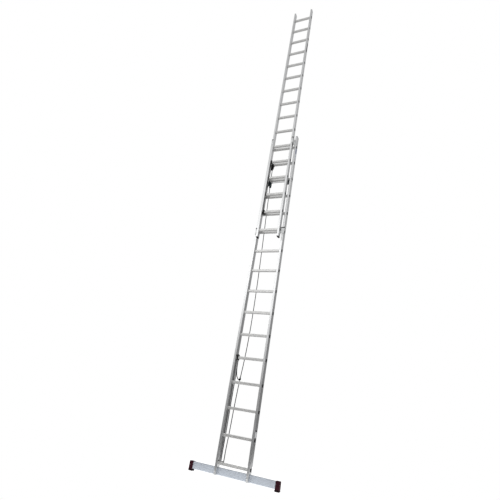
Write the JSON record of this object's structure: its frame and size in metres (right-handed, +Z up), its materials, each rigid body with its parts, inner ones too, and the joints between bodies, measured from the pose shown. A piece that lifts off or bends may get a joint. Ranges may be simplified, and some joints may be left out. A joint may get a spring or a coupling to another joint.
{
  "type": "extension ladder",
  "caption": "Two-section aluminium extension ladder worked by a rope, drawn out, with a stabiliser bar, sliding fly section, pulley and swinging rung locks.",
  "frame": {"origin": "on the ground under the stabiliser bar's feet, in the middle of the whole outline across and from front to back", "axes": "+Z up along the stiles, +X to the right along the rungs, -Y to the front, where the fly section is"},
  "size_m": [1.056, 0.154, 7.313],
  "materials": {
    "stile_aluminium": "extruded, satin",
    "rung_aluminium": "extruded, satin, ribbed tread",
    "bar_aluminium": "extruded, matt, slightly blue",
    "bracket_aluminium": "pressed, satin",
    "black_plastic": "moulded, fine grain",
    "grey_plastic": "moulded, matt",
    "maroon_rubber": "moulded, matt, grooved sole",
    "zinc_steel": "zinc plated",
    "lock_plastic": "moulded, dark teal",
    "rope": "braided, black"
  },
  "bodies": {
    "root": {"base_stile_left": "stile_aluminium", "bar_foot_left": "maroon_rubber", "base_stile_right": "stile_aluminium", "bar_foot_right": "maroon_rubber", "base_rung_01": "rung_aluminium", "base_rung_02": "rung_aluminium", "base_rung_03": "rung_aluminium", "base_rung_04": "rung_aluminium", "base_rung_05": "rung_aluminium", "base_rung_06": "rung_aluminium", "base_rung_07": "rung_aluminium", "base_rung_08": "rung_aluminium", "base_rung_09": "rung_aluminium", "base_rung_10": "rung_aluminium", "base_rung_11": "rung_aluminium", "base_rung_12": "rung_aluminium", "base_rung_13": "rung_aluminium", "base_rung_14": "rung_aluminium", "base_rung_15": "rung_aluminium", "base_rung_16": "rung_aluminium", "base_rung_plugs": "black_plastic", "base_top_caps": "grey_plastic", "base_bottom_plugs": "grey_plastic", "stabiliser_bar": "bar_aluminium", "base_bolts": "zinc_steel", "top_guides": "bracket_aluminium", "lock_housings": "lock_plastic", "pulley_block": "black_plastic", "pulley_axle": "zinc_steel", "rope_anchor": "black_plastic", "rope_haul": "rope", "rope_tail": "rope", "base_knots": "rope", "rope_fly_strand": "rope"},
    "fly": {"fly_stile_left": "stile_aluminium", "fly_stile_right": "stile_aluminium", "fly_rung_01": "rung_aluminium", "fly_rung_02": "rung_aluminium", "fly_rung_03": "rung_aluminium", "fly_rung_04": "rung_aluminium", "fly_rung_05": "rung_aluminium", "fly_rung_06": "rung_aluminium", "fly_rung_07": "rung_aluminium", "fly_rung_08": "rung_aluminium", "fly_rung_09": "rung_aluminium", "fly_rung_10": "rung_aluminium", "fly_rung_11": "rung_aluminium", "fly_rung_12": "rung_aluminium", "fly_rung_13": "rung_aluminium", "fly_rung_14": "rung_aluminium", "fly_rung_15": "rung_aluminium", "fly_rung_16": "rung_aluminium", "fly_rung_plugs": "black_plastic", "fly_end_plugs": "black_plastic", "fly_bolts": "zinc_steel", "low_guides": "bracket_aluminium", "fly_knots": "rope"},
    "sheave": {"pulley_sheave": "black_plastic"},
    "lock": {"lock_shaft": "zinc_steel", "lock_pawls": "lock_plastic"}
  },
  "joints": [
    {"name": "fly_slide", "type": "slide", "parent": "root", "child": "fly", "axis": [0, 0, 1], "range_m": [-2.8, 0], "deforming": ["rope_fly_strand"]},
    {"name": "sheave_spin", "type": "hinge", "parent": "root", "child": "sheave", "pos_m": [-0.139, 0.027, 3.998], "axis": [1, 0, 0], "continuous": true},
    {"name": "lock_swing", "type": "hinge", "parent": "root", "child": "lock", "pos_m": [0, 0.027, 3.736], "axis": [1, 0, 0], "range_deg": [-100, 0]}
  ],
  "couplings": [
    {"joint": "sheave_spin", "follows": "fly_slide", "rad_per_m": -35.714}
  ]
}
